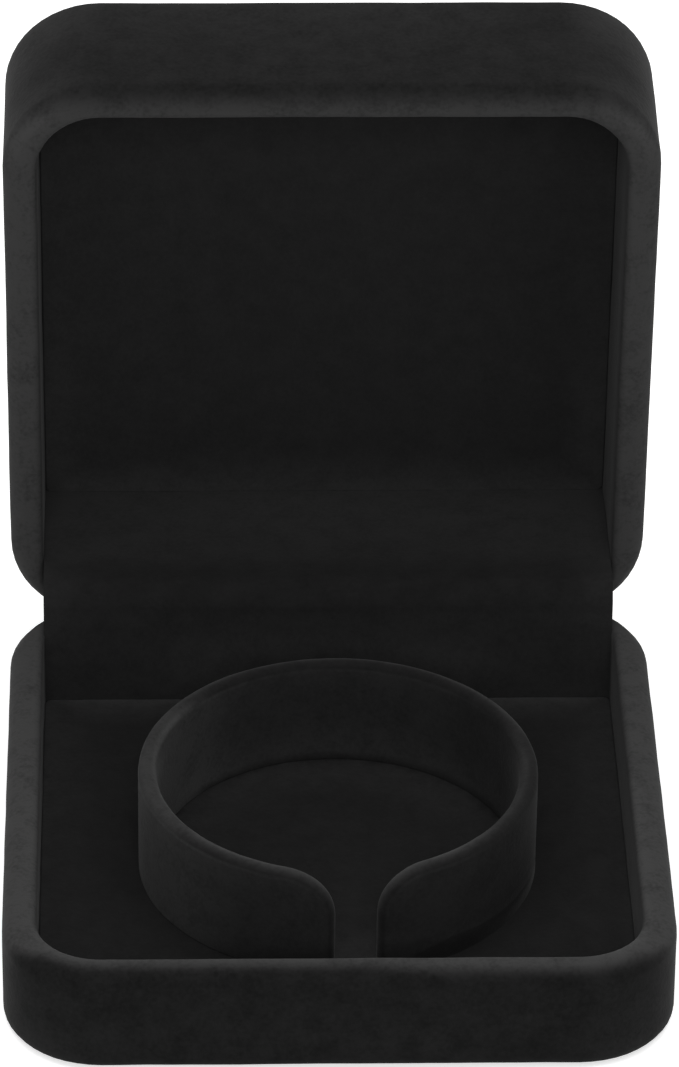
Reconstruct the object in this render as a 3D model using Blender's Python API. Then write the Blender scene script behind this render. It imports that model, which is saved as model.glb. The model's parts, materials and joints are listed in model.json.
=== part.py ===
"""A velvet keepsake case with a snap-hinged lid and a C-shaped collar, standing open.

Metres, +Z up. The base's underside lies on z = 0, its front faces -Y and the hinge runs along X.
The lid is modelled shut, in the same frame as the base, and an empty on the hinge axis opens it.
"""

import math

import bmesh
import bpy
from mathutils import Matrix

# Overall sizes
BOX_WIDTH = 0.0900
BOX_DEPTH = 0.0900
CORNER_RADIUS = 0.0133
CAVITY_REAR_RADIUS = 0.0040
BASE_HEIGHT = 0.0155
LID_HEIGHT = 0.0235
PARTING_GAP = 0.0003
OPEN_ANGLE = math.radians(86)

# Clearances between pieces that touch
CLEARANCE = 0.0003
LAYER_GAP = 0.00025
CUT_OVERRUN = 0.0020
MERGE_DISTANCE = 0.00001

# Walls and covering
VELVET = 0.0006
WALL = 0.0029
BASE_FLOOR = 0.0010
LID_TOP = 0.0010
BASE_EDGE_RADIUS = 0.0017
LID_EDGE_RADIUS = 0.0012
RIM_OUTER_RADIUS = 0.0023
RIM_INNER_RADIUS = 0.00105
SHELL_FILLET = 0.0005
HEM_TURN = 0.0060
HEM_LIFT = 0.00015
UNDERSIDE_SHEET = 0.0006

# Flat linings
BOARD = 0.0008
PAD_EDGE_RADIUS = 0.0004
PAD_REAR_RADIUS = 0.0015

# Lining strip over the hinge
SPINE_CARD = 0.0005
SPINE_BASE_STANDOFF = 0.0030
SPINE_LID_STANDOFF = 0.0039
SPINE_TOP = 0.0226
SPINE_BEND_RADIUS = 0.0035
SPINE_SIDE_GAP = 0.0006
SPINE_CARD_MARGIN = 0.0007

# Collar
COLLAR_RADIUS = 0.0270
COLLAR_THICKNESS = 0.0025
COLLAR_HEIGHT = 0.0160
COLLAR_GAP = 0.0056
COLLAR_CORNER = 0.0068
COLLAR_X = 0.0004
COLLAR_Y = -0.0025
COLLAR_TURN = math.radians(-3)
TAB_WIDTH = 0.0080
TAB_SHAVE = 0.00005
TAB_SHARES = (-0.8, -0.4, 0.0, 0.4, 0.8)

# Hinge
HINGE_INSET = 0.0020
HINGE_LENGTH = 0.0360
KNUCKLES = 5
KNUCKLE_GAP = 0.0003
LEAF = 0.0005
LEAF_REACH = 0.0098
BARREL_RADIUS = 0.0013
BARREL_CLEARANCE = 0.00035
ROLL_ANGLE = math.radians(285)
PIN_RADIUS = 0.00055
PIN_HEAD_RADIUS = 0.0009
PIN_HEAD = 0.0004

# Rivets that hold the leaves
RIVET_SPACING = 0.0240
RIVET_REACH = 0.0055
RIVET_SHANK_RADIUS = 0.0006
RIVET_HEAD_RADIUS = 0.0011
RIVET_HEAD = 0.0003
RIVET_EDGE = 0.0001
RIVET_SINK = 0.0007

# Bow spring and the hooks on the leaves that hold its ends
SPRING = 0.00035
SPRING_WIDTH = 0.0100
HOOK = 0.0004
HOOK_WIDTH = 0.0110
HOOK_LIP = 0.0012
HOOK_MARGIN = 0.0008

# Facets
CORNER_STEPS = 8
EDGE_STEPS = 3
OUTER_RIM_STEPS = 4
INNER_RIM_STEPS = 2
BEND_STEPS = 8
COLLAR_STEPS = 44
COLLAR_CORNER_STEPS = 6
SLEEVE_ROUND_STEPS = 6
ROLL_STEPS = 14
TURNED_STEPS = 16
DOME_STEPS = 3
SMOOTH_ANGLE = math.radians(40)

# Places worked out from the sizes above
COVER = VELVET + LAYER_GAP
RIM = WALL + 2 * COVER


def hinge_drop():
    """Depth of the hinge axis under the base's rim.

    The rims are round outside. At this depth the rear rims come to the same gap, back to back, in the
    open position as they have face to face in the shut one, so they stop the lid.
    """
    back = HINGE_INSET - RIM_OUTER_RADIUS
    centres = 2 * RIM_OUTER_RADIUS + PARTING_GAP
    known = back * back - back * centres / math.tan(OPEN_ANGLE / 2)
    below = (math.sqrt(centres * centres - 4 * known) - centres) / 2
    return RIM_OUTER_RADIUS + below


LID_TOP_Z = BASE_HEIGHT + PARTING_GAP + LID_HEIGHT
CAVITY_REAR = BOX_DEPTH / 2 - RIM
BASE_INNER = HEM_LIFT + COVER + BASE_FLOOR
LID_INNER = COVER + LID_TOP
FLOOR_TOP = BASE_INNER + 2 * LAYER_GAP + BOARD + VELVET
HINGE_Y = BOX_DEPTH / 2 - HINGE_INSET
HINGE_Z = BASE_HEIGHT - hinge_drop()
LEAF_FRONT = HINGE_Y - BARREL_RADIUS
POCKET_REAR = LEAF_FRONT + LEAF + CLEARANCE
POCKET_HALF = HINGE_LENGTH / 2 + CLEARANCE + PIN_HEAD + BARREL_CLEARANCE
SHELL_REAR = BOX_DEPTH / 2 - COVER
SPINE_BASE_Y = CAVITY_REAR - SPINE_BASE_STANDOFF
SPINE_LID_Y = CAVITY_REAR - SPINE_LID_STANDOFF

BLACK_VELVET = (0.012, 0.012, 0.013)
BLACK_PLASTIC = (0.020, 0.020, 0.021)
GREY_CARD = (0.32, 0.31, 0.29)
STEEL = (0.55, 0.54, 0.52)


def clear_scene():
    for item in list(bpy.data.objects):
        bpy.data.objects.remove(item, do_unlink=True)


def material(name, colour, roughness, metallic=0.0):
    """A Principled material for one piece."""
    finish = bpy.data.materials.new(name)
    finish.use_nodes = True
    shader = finish.node_tree.nodes["Principled BSDF"]
    shader.inputs["Base Color"].default_value = (*colour, 1.0)
    shader.inputs["Roughness"].default_value = roughness
    shader.inputs["Metallic"].default_value = metallic
    return finish


def velvet(name):
    return material(name, BLACK_VELVET, 0.95)


def plastic(name):
    return material(name, BLACK_PLASTIC, 0.45)


def card(name):
    return material(name, GREY_CARD, 0.9)


def steel(name):
    return material(name, STEEL, 0.35, 1.0)


def add_object(name, mesh, finish, smooth=True):
    """Turns a bmesh into an object of the scene with its faces pointing out."""
    bmesh.ops.recalc_face_normals(mesh, faces=mesh.faces)
    data = bpy.data.meshes.new(name)
    mesh.to_mesh(data)
    mesh.free()
    if smooth:
        data.shade_smooth()
        data.set_sharp_from_angle(angle=SMOOTH_ANGLE)
    if finish:
        data.materials.append(finish)
    piece = bpy.data.objects.new(name, data)
    bpy.context.collection.objects.link(piece)
    return piece


def cut(piece, cutter, operation="DIFFERENCE"):
    """Cuts or joins a piece with a hidden helper."""
    cutter.hide_render = True
    cutter.display_type = "WIRE"
    change = piece.modifiers.new(f"{operation.lower()} {cutter.name}", "BOOLEAN")
    change.operation = operation
    change.solver = "EXACT"
    change.object = cutter


def block(name, low, high):
    """A rectangular helper between two corners."""
    mesh = bmesh.new()
    bmesh.ops.create_cube(mesh, size=1.0)
    for vert in mesh.verts:
        for axis in range(3):
            vert.co[axis] = high[axis] if vert.co[axis] > 0 else low[axis]
    return add_object(name, mesh, None, smooth=False)


def on_lid(piece, hinge):
    """Hangs a piece that was modelled shut on the lid's hinge empty."""
    piece.parent = hinge
    piece.matrix_parent_inverse = Matrix.Identity(4)
    piece.location = piece.location.copy() - hinge.location
    return piece


def lid_hinge():
    """The empty on the hinge axis, turned to the open position."""
    hinge = bpy.data.objects.new("lid_hinge", None)
    hinge.location = (0, HINGE_Y, HINGE_Z)
    hinge.rotation_euler = (-OPEN_ANGLE, 0, 0)
    bpy.context.collection.objects.link(hinge)
    return hinge


def opened(y, z):
    """Where a point of the shut lid stands once the lid is open."""
    cosine = math.cos(OPEN_ANGLE)
    sine = math.sin(OPEN_ANGLE)
    away = y - HINGE_Y
    above = z - HINGE_Z
    return HINGE_Y + away * cosine + above * sine, HINGE_Z - away * sine + above * cosine


# Outlines and rings of the walls


def outline(half_width, front, rear, front_radius, rear_radius):
    """A rectangle with rounded corners, anticlockwise from its rear right corner."""
    corners = (
        (half_width, rear, rear_radius),
        (-half_width, rear, rear_radius),
        (-half_width, front, front_radius),
        (half_width, front, front_radius),
    )
    points = []
    for quarter, (x, y, radius) in enumerate(corners):
        centre_x = x - math.copysign(radius, x)
        centre_y = y - math.copysign(radius, y)
        for step in range(CORNER_STEPS + 1):
            angle = (quarter + step / CORNER_STEPS) * math.pi / 2
            points.append((centre_x + radius * math.cos(angle), centre_y + radius * math.sin(angle)))
    return points


def rear_radius(inset):
    """Radius of the rear corners at a depth into the wall.

    The outside is round on every corner. The cavity is squarer at the rear, where the lining strip
    stands across it, so the radius falls faster through the moulded wall.
    """
    if inset <= COVER:
        return CORNER_RADIUS - inset
    if inset >= RIM - COVER:
        return CAVITY_REAR_RADIUS + RIM - inset
    outer = CORNER_RADIUS - COVER
    inner = CAVITY_REAR_RADIUS + COVER
    share = (inset - COVER) / WALL
    return outer + (inner - outer) * share


def wall_ring(inset, z, rear):
    """Outline at a depth into the wall, with its own rear corner radius."""
    half_depth = BOX_DEPTH / 2 - inset
    flat = outline(BOX_WIDTH / 2 - inset, -half_depth, half_depth, CORNER_RADIUS - inset, rear)
    return [(x, y, z) for x, y in flat]


def arc(centre_inset, centre_height, radius, start, end, steps):
    """Profile points on an arc, in degrees: 180 faces outward, 90 up and 0 into the box."""
    points = []
    for step in range(steps + 1):
        angle = math.radians(start + (end - start) * step / steps)
        points.append((centre_inset + radius * math.cos(angle), centre_height + radius * math.sin(angle)))
    return points


def wall_profile(depth, bottom, edge_radius, height, foot):
    """Inset, height and rear corner radius of points round the outer edge, over the rim and inside.

    The profile runs at a given depth under the cover's face.
    """
    outer = RIM_OUTER_RADIUS
    inner = RIM_INNER_RADIUS
    edge = arc(edge_radius, bottom + edge_radius, edge_radius - depth, 270, 180, EDGE_STEPS)
    rim = arc(outer, height - outer, outer - depth, 180, 90, OUTER_RIM_STEPS)
    rim += arc(RIM - inner, height - inner, inner - depth, 90, 0, INNER_RIM_STEPS)
    rim.append((RIM - depth, foot))
    outside = [(inset, at, CORNER_RADIUS - inset) for inset, at in edge]
    return outside + [(inset, at, rear_radius(inset)) for inset, at in rim]


def loft(name, rings, finish, joined=False):
    """Skins a row of equal rings; the two ends are capped unless the last ring joins the first."""
    mesh = bmesh.new()
    loops = [[mesh.verts.new(point) for point in ring] for ring in rings]
    following = loops[1:]
    if joined:
        following.append(loops[0])
    else:
        mesh.faces.new(loops[0])
        mesh.faces.new(loops[-1])
    for lower, upper in zip(loops, following):
        for index, vert in enumerate(lower):
            beside = (index + 1) % len(lower)
            mesh.faces.new((vert, lower[beside], upper[beside], upper[index]))
    return add_object(name, mesh, finish)


def base_rings(profile):
    return [wall_ring(inset, height, rear) for inset, height, rear in profile]


def lid_rings(profile):
    """Rings of the shut lid, whose profile heights are counted down from its top."""
    return [wall_ring(inset, LID_TOP_Z - height, rear) for inset, height, rear in profile]


def shell_profile(bottom, edge_radius, height, inner):
    """Outer face, rim and cavity of a moulded tray, from its underside's edge to its floor's edge."""
    fillet = SHELL_FILLET
    points = wall_profile(COVER, bottom, edge_radius, height, inner + fillet)
    corner = arc(RIM - COVER + fillet, inner + fillet, fillet, 180, 270, EDGE_STEPS)
    return points + [(inset, at, rear_radius(inset)) for inset, at in corner[1:]]


# Shells and the velvet over them


def base_shell():
    profile = shell_profile(HEM_LIFT, BASE_EDGE_RADIUS, BASE_HEIGHT, BASE_INNER)
    shell = loft("base_shell", base_rings(profile), plastic("base_shell"))
    cut_for_hinge(shell, "base")
    cut_for_rivets(shell, "base", -1)
    return shell


def base_velvet_cover():
    """Velvet glued round the walls, turned in over the rim and turned under the bottom."""
    foot = BASE_INNER + SHELL_FILLET + CLEARANCE
    face = wall_profile(0, HEM_LIFT, BASE_EDGE_RADIUS, BASE_HEIGHT, foot)
    back = wall_profile(VELVET, HEM_LIFT, BASE_EDGE_RADIUS, BASE_HEIGHT, foot)
    turned_radius = CORNER_RADIUS - HEM_TURN
    hem = [(HEM_TURN, HEM_LIFT + VELVET, turned_radius), (HEM_TURN, HEM_LIFT, turned_radius)]
    profile = hem + face + back[::-1]
    cover = loft("base_velvet_cover", base_rings(profile), velvet("base_velvet_cover"), joined=True)
    cut_for_hinge(cover, "base")
    return cover


def underside_sheet():
    """Flat sheet inside the turned-under edge; the box rests on it."""
    inset = HEM_TURN + CLEARANCE
    rings = [wall_ring(inset, z, CORNER_RADIUS - inset) for z in (0, UNDERSIDE_SHEET)]
    return loft("underside_sheet", rings, velvet("underside_sheet"))


def lid_shell(hinge):
    profile = shell_profile(0, LID_EDGE_RADIUS, LID_HEIGHT, LID_INNER)
    shell = loft("lid_shell", lid_rings(profile), plastic("lid_shell"))
    for helper in cut_for_hinge(shell, "lid") + cut_for_rivets(shell, "lid", 1):
        on_lid(helper, hinge)
    return on_lid(shell, hinge)


def lid_velvet_cover(hinge):
    """Velvet in one piece over the lid's top and walls, turned in over the rim."""
    foot = LID_INNER + SHELL_FILLET + CLEARANCE
    face = wall_profile(0, 0, LID_EDGE_RADIUS, LID_HEIGHT, foot)
    back = wall_profile(VELVET, 0, LID_EDGE_RADIUS, LID_HEIGHT, foot)
    cover = loft("lid_velvet_cover", lid_rings(face + back[::-1]), velvet("lid_velvet_cover"))
    for helper in cut_for_hinge(cover, "lid"):
        on_lid(helper, hinge)
    return on_lid(cover, hinge)


def cut_for_hinge(piece, side):
    """Cuts the leaf's pocket in the rear wall and, in the base, the notch that the barrel turns in."""
    front = CAVITY_REAR - CUT_OVERRUN
    reach = LEAF_REACH + CLEARANCE
    if side == "lid":
        low = (-POCKET_HALF, front, BASE_HEIGHT - CUT_OVERRUN)
        high = (POCKET_HALF, POCKET_REAR, HINGE_Z + reach)
        helpers = [block(f"{piece.name} leaf pocket", low, high)]
    else:
        low = (-POCKET_HALF, front, HINGE_Z - reach)
        high = (POCKET_HALF, POCKET_REAR, BASE_HEIGHT + CUT_OVERRUN)
        helpers = [block(f"{piece.name} leaf pocket", low, high)]
        low = (-POCKET_HALF, POCKET_REAR - CLEARANCE, HINGE_Z - BARREL_RADIUS - BARREL_CLEARANCE)
        high = (POCKET_HALF, BOX_DEPTH / 2 + CUT_OVERRUN, BASE_HEIGHT + CUT_OVERRUN)
        helpers.append(block(f"{piece.name} barrel notch", low, high))
    for helper in helpers:
        cut(piece, helper)
    return helpers


def cut_for_rivets(piece, side, direction):
    """Drills the rivets' holes and sinks their outer heads below the shell's face."""
    helpers = []
    for name, x in (("left", -RIVET_SPACING / 2), ("right", RIVET_SPACING / 2)):
        place = (x, HINGE_Z + direction * RIVET_REACH)
        hole = rod(f"{piece.name} rivet hole {name}", place, RIVET_SHANK_RADIUS + LAYER_GAP,
                   LEAF_FRONT - CUT_OVERRUN, SHELL_REAR + CUT_OVERRUN)
        sink = rod(f"{piece.name} rivet sink {name}", place, RIVET_HEAD_RADIUS + LAYER_GAP,
                   SHELL_REAR - RIVET_SINK, SHELL_REAR + CUT_OVERRUN)
        helpers += [hole, sink]
    for helper in helpers:
        cut(piece, helper)
    return helpers


def rod(name, place, radius, front, rear):
    """A round helper along Y at an x and z."""
    mesh = bmesh.new()
    turn = Matrix.Translation((place[0], (front + rear) / 2, place[1])) @ Matrix.Rotation(math.pi / 2, 4, "X")
    bmesh.ops.create_cone(
        mesh, cap_ends=True, segments=TURNED_STEPS, radius1=radius, radius2=radius, depth=rear - front, matrix=turn
    )
    return add_object(name, mesh, None, smooth=False)


# Flat linings: a board with velvet turned down round its edges


def pad_ring(rear, shrink, z):
    """Outline of a lining that fills the cavity from the front to a given rear edge."""
    inset = RIM + CLEARANCE + shrink
    front = -(BOX_DEPTH / 2 - inset)
    flat = outline(BOX_WIDTH / 2 - inset, front, rear - shrink, CORNER_RADIUS - inset, PAD_REAR_RADIUS - shrink)
    return [(x, y, z) for x, y in flat]


def lining(board_name, velvet_name, inner, rear, level):
    """Board and velvet of a flat lining; level turns a height over the shell's face into z."""
    under = inner + LAYER_GAP
    board_top = under + BOARD
    velvet_under = board_top + LAYER_GAP
    top = velvet_under + VELVET
    board_rings = [pad_ring(rear, COVER, level(height)) for height in (under, board_top)]
    board = loft(board_name, board_rings, card(board_name))
    profile = [(VELVET, velvet_under), (VELVET, under), (0, under)]
    radius = PAD_EDGE_RADIUS
    profile += arc(radius, top - radius, radius, 180, 90, EDGE_STEPS)
    velvet_rings = [pad_ring(rear, shrink, level(height)) for shrink, height in profile]
    skin = loft(velvet_name, velvet_rings, velvet(velvet_name))
    return board, skin


def floor_lining():
    """The floor, slotted where the collar's tabs pass through."""
    board, skin = lining("floor_board", "floor_velvet", BASE_INNER, SPINE_BASE_Y - CLEARANCE, lambda h: h)
    core_half = COLLAR_THICKNESS / 2 - COVER
    for piece in (board, skin):
        for index, share in enumerate(TAB_SHARES):
            slot = collar_sector(f"{piece.name} tab slot {index + 1}", share, core_half + CLEARANCE,
                                 TAB_WIDTH / 2 + CLEARANCE, BASE_INNER - CUT_OVERRUN, FLOOR_TOP + CUT_OVERRUN)
            cut(piece, slot)
    return board, skin


def panel_lining(hinge):
    """The flat panel inside the lid."""
    pieces = lining("lid_panel_board", "lid_panel_velvet", LID_INNER, SPINE_LID_Y - CLEARANCE, lambda h: LID_TOP_Z - h)
    for piece in pieces:
        on_lid(piece, hinge)
    return pieces


# Sheets bent round the hinge: the lining strip, its card and the bow spring


def bend_path(centre, radius, rise, turn, run):
    """A path in the YZ plane: up, round an arc in front of the centre, and on backwards."""
    centre_y, centre_z = centre
    points = [(centre_y - radius, centre_z - rise)]
    for step in range(BEND_STEPS + 1):
        angle = turn * step / BEND_STEPS
        points.append((centre_y - radius * math.cos(angle), centre_z + radius * math.sin(angle)))
    last_y, last_z = points[-1]
    points.append((last_y + run * math.sin(turn), last_z + run * math.cos(turn)))
    return points


def bent_sheet(name, bend, depth, thickness, half_width, finish):
    """A sheet of even thickness at a depth behind the path's face."""
    centre, radius, rise, turn, run = bend
    face = bend_path(centre, radius - depth, rise, turn, run)
    back = bend_path(centre, radius - depth - thickness, rise, turn, run)
    section = face + back[::-1]
    sides = [[(x, y, z) for y, z in section] for x in (-half_width, half_width)]
    mesh = bmesh.new()
    left, right = [[mesh.verts.new(point) for point in side] for side in sides]
    count = len(section)
    for index in range(count):
        beside = (index + 1) % count
        mesh.faces.new((left[index], left[beside], right[beside], right[index]))
    for index in range(count // 2 - 1):
        opposite = count - 1 - index
        for side in (left, right):
            mesh.faces.new((side[index], side[index + 1], side[opposite - 1], side[opposite]))
    return add_object(name, mesh, finish)


def spine_bend():
    """Centre, radius, rise, turn and run of the lining strip's face."""
    radius = SPINE_BEND_RADIUS
    end_y, end_z = opened(SPINE_LID_Y, LID_TOP_Z - LID_INNER - CLEARANCE)
    turn = math.atan2(end_y - SPINE_BASE_Y, end_z - SPINE_TOP)
    centre_y = SPINE_BASE_Y + radius
    centre_z = SPINE_TOP - radius * (1 - math.cos(turn)) / math.sin(turn)
    rise = centre_z - BASE_INNER - CLEARANCE
    start_y = centre_y - radius * math.cos(turn)
    start_z = centre_z + radius * math.sin(turn)
    run = (end_y - start_y) * math.sin(turn) + (end_z - start_z) * math.cos(turn)
    return (centre_y, centre_z), radius, rise, turn, run


def spine_strip():
    """Velvet on a thin card, from behind the floor lining to behind the lid's panel."""
    bend = spine_bend()
    half_width = BOX_WIDTH / 2 - RIM - SPINE_SIDE_GAP
    skin = bent_sheet("spine_velvet", bend, 0, VELVET, half_width, velvet("spine_velvet"))
    stiffener = bent_sheet("spine_card", bend, COVER, SPINE_CARD, half_width - SPINE_CARD_MARGIN, card("spine_card"))
    return skin, stiffener


def hinge_bow_spring():
    """Spring strip that lies tight round the barrel when the lid is open, hooked to both leaves."""
    reach = LEAF_REACH - HOOK_MARGIN - HOOK - CLEARANCE
    radius = BARREL_RADIUS + CLEARANCE + SPRING
    bend = ((HINGE_Y, HINGE_Z), radius, reach, OPEN_ANGLE, reach)
    return bent_sheet("hinge_bow_spring", bend, 0, SPRING, SPRING_WIDTH / 2, steel("hinge_bow_spring"))


# Hinge leaves with rolled knuckles, pin and rivets


def comb_outline(own):
    """Outline of a flat leaf below the axis, with a tooth up to the axis for each of its knuckles."""
    half = HINGE_LENGTH / 2
    root = -(BARREL_RADIUS + BARREL_CLEARANCE)
    pitch = HINGE_LENGTH / KNUCKLES
    points = [(-half, -LEAF_REACH), (half, -LEAF_REACH)]
    if KNUCKLES - 1 not in own:
        points.append((half, root))
    for index in sorted(own, reverse=True):
        right = -half + (index + 1) * pitch
        left = right - pitch
        if index < KNUCKLES - 1:
            right -= KNUCKLE_GAP / 2
            points.append((right, root))
        if index > 0:
            left += KNUCKLE_GAP / 2
        points += [(right, 0), (left, 0)]
        if index > 0:
            points.append((left, root))
    if 0 not in own:
        points.append((-half, root))
    return points


def roll_knuckles(mesh, teeth):
    """Rolls each tooth's top edge round the hinge axis, which is the origin here."""
    step = Matrix.Rotation(-ROLL_ANGLE / ROLL_STEPS, 4, "X")
    for face in teeth:
        for _ in range(ROLL_STEPS):
            grown = bmesh.ops.extrude_face_region(mesh, geom=[face])["geom"]
            verts = [item for item in grown if isinstance(item, bmesh.types.BMVert)]
            bmesh.ops.transform(mesh, matrix=step, verts=verts)
            following = [item for item in grown if isinstance(item, bmesh.types.BMFace)][0]
            if face.is_valid:
                bmesh.ops.delete(mesh, geom=[face], context="FACES_ONLY")
            face = following


def hinge_leaf(name, direction, own):
    """A pressed leaf: direction -1 hangs below the axis, 1 stands above it."""
    mesh = bmesh.new()
    front = -BARREL_RADIUS
    corners = [mesh.verts.new((x, front, z)) for x, z in comb_outline(own)]
    sheet = mesh.faces.new(corners)
    grown = bmesh.ops.extrude_face_region(mesh, geom=[sheet])["geom"]
    verts = [item for item in grown if isinstance(item, bmesh.types.BMVert)]
    bmesh.ops.translate(mesh, vec=(0, LEAF, 0), verts=verts)
    bmesh.ops.recalc_face_normals(mesh, faces=mesh.faces)
    teeth = [face for face in mesh.faces if all(abs(vert.co.z) < LAYER_GAP / 2 for vert in face.verts)]
    roll_knuckles(mesh, teeth)
    place_on_axis(mesh, direction)
    leaf = add_object(name, mesh, steel(name))
    side = "base" if direction < 0 else "lid"
    helpers = []
    for end, x in (("left", -RIVET_SPACING / 2), ("right", RIVET_SPACING / 2)):
        place = (x, HINGE_Z + direction * RIVET_REACH)
        helpers.append(rod(f"{side} leaf hole {end}", place, RIVET_SHANK_RADIUS + LAYER_GAP,
                           LEAF_FRONT - CUT_OVERRUN, LEAF_FRONT + LEAF + CUT_OVERRUN))
        cut(leaf, helpers[-1])
    helpers.append(spring_hook(f"{side} spring hook", direction))
    cut(leaf, helpers[-1], "UNION")
    return leaf, helpers


def place_on_axis(mesh, direction):
    """Moves a shape drawn below the origin to the hinge axis, upside down for the lid."""
    for vert in mesh.verts:
        vert.co.z *= -direction
        vert.co.y += HINGE_Y
        vert.co.z += HINGE_Z


def spring_hook(name, direction):
    """The bent tongue of a leaf that holds one end of the bow spring."""
    root = -BARREL_RADIUS + LEAF / 2
    lip_rear = -BARREL_RADIUS - SPRING - 2 * CLEARANCE
    lip_front = lip_rear - HOOK
    bottom = -LEAF_REACH + HOOK_MARGIN
    shelf = bottom + HOOK
    top = shelf + HOOK_LIP
    section = ((root, bottom), (root, shelf), (lip_rear, shelf), (lip_rear, top), (lip_front, top), (lip_front, bottom))
    mesh = bmesh.new()
    side = mesh.faces.new([mesh.verts.new((-HOOK_WIDTH / 2, y, z)) for y, z in section])
    grown = bmesh.ops.extrude_face_region(mesh, geom=[side])["geom"]
    verts = [item for item in grown if isinstance(item, bmesh.types.BMVert)]
    bmesh.ops.translate(mesh, vec=(HOOK_WIDTH, 0, 0), verts=verts)
    place_on_axis(mesh, direction)
    return add_object(name, mesh, None, smooth=False)


def turned(name, profile, finish):
    """A turned piece from its outer profile, top to bottom, round its own Z axis."""
    mesh = bmesh.new()
    verts = [mesh.verts.new((radius, 0, z)) for radius, z in profile]
    for upper, lower in zip(verts, verts[1:]):
        mesh.edges.new((upper, lower))
    data = bpy.data.meshes.new(name)
    mesh.to_mesh(data)
    mesh.free()
    data.materials.append(finish)
    piece = bpy.data.objects.new(name, data)
    bpy.context.collection.objects.link(piece)
    spin = piece.modifiers.new("turn", "SCREW")
    spin.axis = "Z"
    spin.steps = TURNED_STEPS
    spin.render_steps = TURNED_STEPS
    spin.use_merge_vertices = True
    spin.merge_threshold = MERGE_DISTANCE
    spin.use_smooth_shade = True
    return piece


def hinge_pin():
    half = HINGE_LENGTH / 2 + CLEARANCE
    end = half + PIN_HEAD
    profile = ((0, end), (PIN_HEAD_RADIUS, end), (PIN_HEAD_RADIUS, half), (PIN_RADIUS, half),
               (PIN_RADIUS, -half), (PIN_HEAD_RADIUS, -half), (PIN_HEAD_RADIUS, -end), (0, -end))
    pin = turned("hinge_pin", profile, steel("hinge_pin"))
    pin.rotation_euler = (0, math.pi / 2, 0)
    pin.location = (0, HINGE_Y, HINGE_Z)
    return pin


def dome():
    """Radius and height of points from a rivet head's crown to its edge."""
    points = []
    for step in range(DOME_STEPS + 1):
        angle = math.pi / 2 * step / DOME_STEPS
        crown = (RIVET_HEAD - RIVET_EDGE) * math.cos(angle)
        points.append((RIVET_HEAD_RADIUS * math.sin(angle), RIVET_EDGE + crown))
    return points


def rivet(name, x, direction):
    """A rivet through a leaf and the shell's wall; its own Z axis points into the box."""
    seat = LAYER_GAP
    tail = SHELL_REAR - RIVET_SINK + LAYER_GAP - LEAF_FRONT
    head = [(radius, seat + height) for radius, height in dome()]
    shank = [(RIVET_HEAD_RADIUS, seat), (RIVET_SHANK_RADIUS, seat), (RIVET_SHANK_RADIUS, -tail),
             (RIVET_HEAD_RADIUS, -tail)]
    closing = [(radius, -tail - height) for radius, height in reversed(dome())]
    profile = head + shank + closing
    piece = turned(name, profile, steel(name))
    piece.rotation_euler = (math.pi / 2, 0, 0)
    piece.location = (x, LEAF_FRONT, HINGE_Z + direction * RIVET_REACH)
    return piece


# Collar: a stiff C-shaped band in a velvet sleeve


def collar_mean_radius():
    return COLLAR_RADIUS - COLLAR_THICKNESS / 2


def collar_half_length():
    """Half the band's length along its mid line, from the rear to an end, sleeve included."""
    mean = collar_mean_radius()
    return math.pi * mean - COLLAR_GAP / 2


def collar_point(along, height, out):
    """Bends the flat band: length along it, height, and distance outward from its mid line."""
    mean = collar_mean_radius()
    angle = along / mean + COLLAR_TURN
    radius = mean + out
    return COLLAR_X + radius * math.sin(angle), COLLAR_Y + radius * math.cos(angle), height


def band_edge(half_length, bottom, top, corner):
    """Flat outline of the band from one foot over the top to the other, with round upper corners."""
    points = [(-half_length, bottom)]
    for step in range(COLLAR_CORNER_STEPS + 1):
        angle = math.pi / 2 * step / COLLAR_CORNER_STEPS
        points.append((-half_length + corner * (1 - math.cos(angle)), top - corner * (1 - math.sin(angle))))
    straight = half_length - corner
    for step in range(1, COLLAR_STEPS):
        points.append((-straight + 2 * straight * step / COLLAR_STEPS, top))
    mirrored = [(-along, height) for along, height in points[:COLLAR_CORNER_STEPS + 2]]
    return points + mirrored[::-1]


def band_surface(mesh, grow, bottom, round_steps):
    """Skins the band at a distance outside its core, open below; returns the open edge's vertices."""
    half = COLLAR_THICKNESS / 2 - COVER + grow
    length = collar_half_length() - COVER + grow
    top = FLOOR_TOP + COLLAR_HEIGHT - COVER + grow
    corner = COLLAR_CORNER - COVER + grow
    rows = []
    flats = []
    for step in range(round_steps + 1):
        angle = math.pi * step / round_steps
        back_off = half * (1 - math.sin(angle))
        out = -half * math.cos(angle)
        flat = band_edge(length - back_off, bottom, top - back_off, corner - back_off)
        rows.append([mesh.verts.new(collar_point(along, height, out)) for along, height in flat])
        if step in (0, round_steps):
            inner_stations = flat[2:-2]
            feet = [mesh.verts.new(collar_point(along, bottom, out)) for along, _ in inner_stations]
            flats.append([rows[-1][0]] + feet + [rows[-1][-1]])
    for lower, upper in zip(rows, rows[1:]):
        for index in range(len(lower) - 1):
            mesh.faces.new((lower[index], lower[index + 1], upper[index + 1], upper[index]))
    for row, feet in ((rows[0], flats[0]), (rows[-1], flats[1])):
        for index in range(len(feet) - 1):
            mesh.faces.new((feet[index], feet[index + 1], row[index + 2], row[index + 1]))
    right_end = [row[-1] for row in rows[1:-1]]
    left_end = [row[0] for row in rows[1:-1]]
    return flats[0] + right_end + flats[1][::-1] + left_end[::-1]


def collar_sector(name, share, half_thickness, half_width, bottom, top):
    """A helper that follows the collar's curve, centred at a share of the band's half length."""
    centre = share * (collar_half_length() - COVER)
    rings = []
    for step in range(BEND_STEPS + 1):
        along = centre - half_width + 2 * half_width * step / BEND_STEPS
        corners = ((-half_thickness, bottom), (half_thickness, bottom), (half_thickness, top), (-half_thickness, top))
        rings.append([collar_point(along, height, out) for out, height in corners])
    return loft(name, rings, None)


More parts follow.
